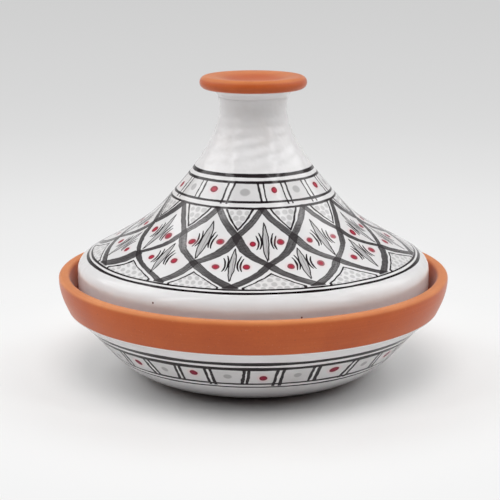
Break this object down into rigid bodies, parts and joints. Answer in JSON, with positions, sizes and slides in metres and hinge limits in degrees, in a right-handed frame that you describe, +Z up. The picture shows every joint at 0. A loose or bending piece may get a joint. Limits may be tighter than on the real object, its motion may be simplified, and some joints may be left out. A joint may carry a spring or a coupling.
{
  "type": "tagine pot",
  "caption": "Earthenware tagine: a shallow cooking dish with a ledge inside its rim, and a painted conical lid with a dished knob that lifts off.",
  "frame": {"origin": "middle of the flat foot, on the surface that the pot stands on", "axes": "+Z up along the axis that every piece is turned about, from the foot to the knob; -Y is the side shown first"},
  "size_m": [0.26, 0.26, 0.1994],
  "materials": {
    "bare_terracotta": "smooth unglazed fired clay, matte with a faint sheen and fine turning lines",
    "painted_glaze": "glossy white tin glaze with a brushed grey-black lattice, lines, dots and leaves in black, grey and red",
    "plain_glaze": "glossy plain white glaze"
  },
  "bodies": {
    "dish": {"dish_clay": "bare_terracotta", "dish_outer_glaze": "painted_glaze", "dish_inner_glaze": "plain_glaze"},
    "lid": {"lid_clay": "bare_terracotta", "lid_outer_glaze": "painted_glaze", "lid_knob": "bare_terracotta"}
  },
  "joints": [
    {"name": "lid_lift", "type": "slide", "parent": "dish", "child": "lid", "axis": [0, 0, 1], "range_m": [0, 0.15]}
  ]
}
